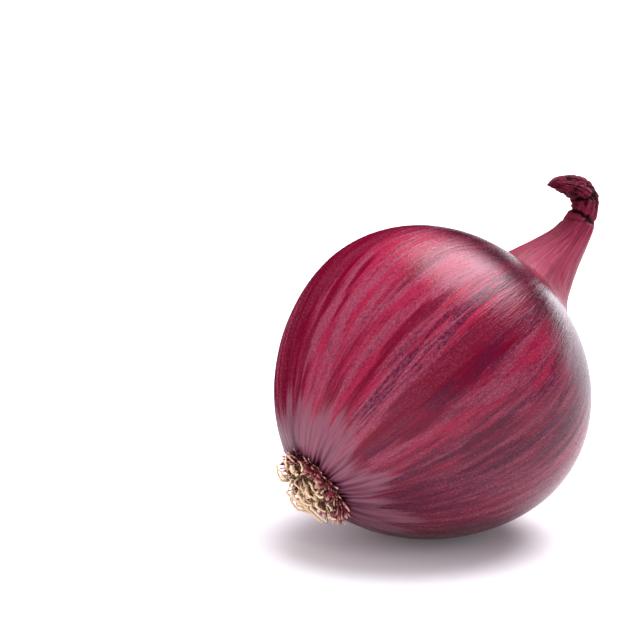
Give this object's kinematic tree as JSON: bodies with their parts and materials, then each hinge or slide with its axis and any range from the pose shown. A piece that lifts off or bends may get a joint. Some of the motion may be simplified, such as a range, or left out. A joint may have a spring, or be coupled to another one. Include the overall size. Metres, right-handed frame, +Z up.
{
  "type": "red onion",
  "caption": "Whole red onion lying on its side on a small flat spot, with a dry hooked neck, satin streaked skin and a tuft of short dry roots.",
  "frame": {"origin": "centre of the small flat spot that the onion rests on, right under its middle", "axes": "+Z up; the onion's own axis lies in the XZ plane and rises 32 degrees towards +X, from the root plate at -X to the dry neck at +X; +Y is sideways"},
  "size_m": [0.093, 0.0828, 0.0866],
  "materials": {
    "skin": "satin, dry papery onion skin in crimson with darker streaks",
    "dry_root": "matt, dry and fibrous"
  },
  "bodies": {
    "root": {"bulb": "skin", "root_01": "dry_root", "root_02": "dry_root", "root_03": "dry_root", "root_04": "dry_root", "root_05": "dry_root", "root_06": "dry_root", "root_07": "dry_root", "root_08": "dry_root", "root_09": "dry_root", "root_10": "dry_root", "root_11": "dry_root", "root_12": "dry_root", "root_13": "dry_root", "root_14": "dry_root"}
  },
  "joints": []
}
